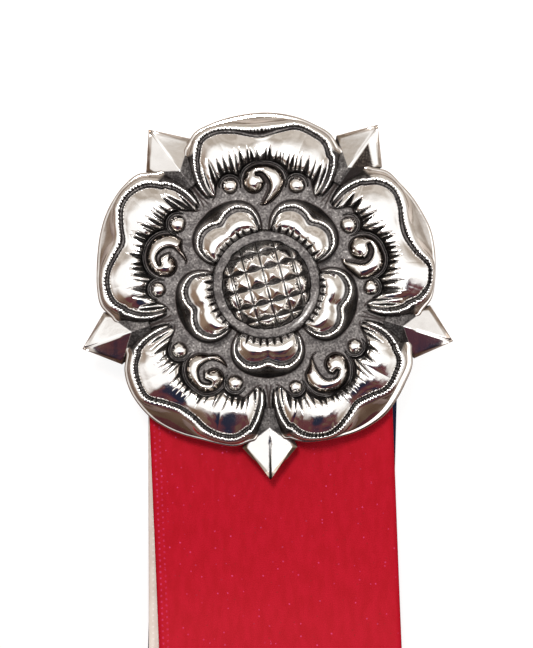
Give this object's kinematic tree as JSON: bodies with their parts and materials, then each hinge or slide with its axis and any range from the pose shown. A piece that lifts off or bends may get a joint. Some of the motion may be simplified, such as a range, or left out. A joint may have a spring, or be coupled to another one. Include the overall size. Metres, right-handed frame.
{
  "type": "rose brooch with hanging ribbons",
  "caption": "Domed silver rose brooch in relief, with petals, scrolls, beads and a pyramid-cut boss, flat ribbons hanging from behind it, and a brooch pin at its back.",
  "frame": {"origin": "bottom centre of the whole brooch's box, on the surface that it lies on", "axes": "+Z out of the rose's face, +Y towards the rose's top; the ribbons hang towards -Y"},
  "size_m": [0.038, 0.0569, 0.0128],
  "materials": {
    "silver": "polished silver, darkened in its recesses",
    "pin_metal": "plain silver, dull polish",
    "red_ribbon": "fine ribbed satin ribbon, red",
    "white_ribbon": "fine ribbed satin ribbon, ivory white",
    "blue_ribbon": "fine ribbed satin ribbon, navy blue"
  },
  "bodies": {
    "root": {"rose": "silver", "pin": "pin_metal", "ribbon_red": "red_ribbon", "ribbon_white": "white_ribbon", "ribbon_blue": "blue_ribbon"}
  },
  "joints": []
}
